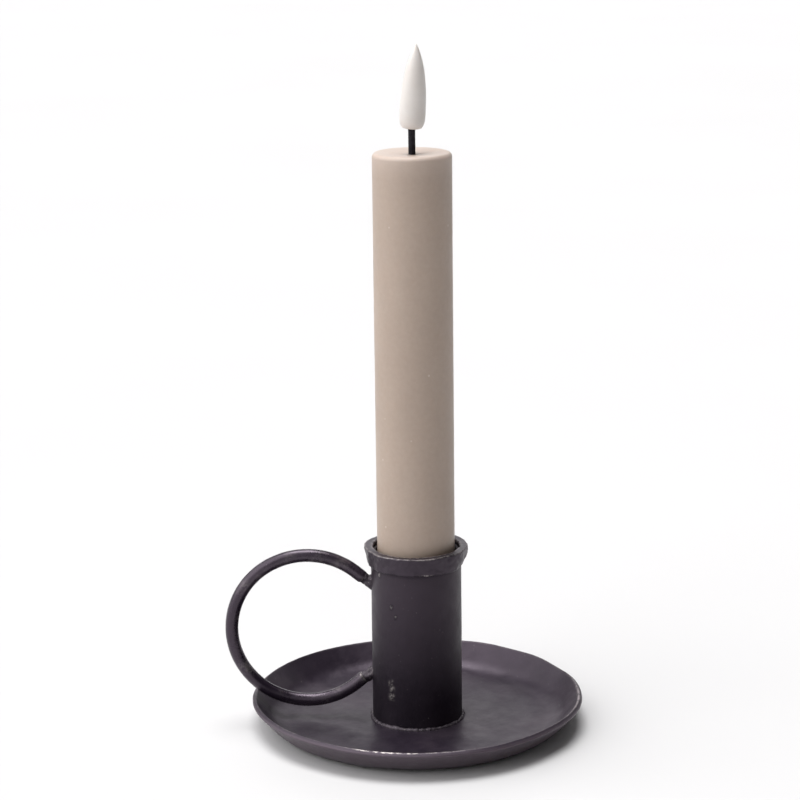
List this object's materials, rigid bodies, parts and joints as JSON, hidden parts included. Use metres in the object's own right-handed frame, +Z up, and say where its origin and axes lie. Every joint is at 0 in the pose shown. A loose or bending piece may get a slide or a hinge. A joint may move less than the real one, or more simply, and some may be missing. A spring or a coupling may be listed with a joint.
{
  "type": "chamberstick",
  "caption": "Low iron chamberstick: shallow drip dish, socket tube with collar band and welded ring handle, holding a removable battery candle.",
  "frame": {"origin": "centre of the drip dish's flat underside, on the table", "axes": "+Z up along the candle, -X towards the ring handle, -Y towards the viewer"},
  "size_m": [0.1022, 0.095, 0.1938],
  "materials": {
    "black_iron": "matte",
    "weld_iron": "satin",
    "wax": "satin",
    "white_plastic": "satin",
    "grey_plastic": "satin",
    "wick_black": "matte",
    "flame_opal": "satin",
    "lamp_lens": "gloss",
    "plated_wire": "satin",
    "plated_sheet": "satin",
    "contact_brass": "satin",
    "board_green": "satin",
    "chip_black": "matte",
    "cell_jacket": "satin",
    "cap_plastic": "satin",
    "brown_plastic": "satin",
    "slider_black": "satin"
  },
  "bodies": {
    "holder": {"drip_dish": "black_iron", "socket_tube": "black_iron", "candle_seat": "black_iron", "collar_band": "black_iron", "ring_handle": "black_iron", "handle_welds": "weld_iron", "foot_weld": "weld_iron"},
    "candle": {"wax_sleeve": "wax", "battery_tube": "white_plastic", "wick_plug": "grey_plastic", "wick_tube": "wick_black", "flame_shell": "flame_opal", "flame_led": "lamp_lens", "led_leads": "plated_wire", "circuit_board": "board_green", "driver_chip": "chip_black", "positive_contact": "contact_brass", "battery_1": "cell_jacket", "battery_2": "cell_jacket", "negative_strip": "plated_sheet"},
    "battery_cap": {"battery_cap": "cap_plastic", "contact_ring": "contact_brass", "negative_spring": "plated_wire", "switch_board": "board_green", "switch_case": "plated_sheet", "switch_base": "brown_plastic", "switch_screws": "plated_wire"},
    "switch_slider": {"switch_slider": "slider_black"}
  },
  "joints": [
    {"name": "candle_lift", "type": "slide", "parent": "holder", "child": "candle", "axis": [0, 0, 1], "range_m": [0, 0.06]},
    {"name": "cap_twist", "type": "hinge", "parent": "candle", "child": "battery_cap", "pos_m": [0, 0, 0.0153], "axis": [0, 0, -1], "range_deg": [0, 35]},
    {"name": "switch_slide", "type": "slide", "parent": "battery_cap", "child": "switch_slider", "axis": [1, 0, 0], "range_m": [0, 0.0024]}
  ]
}
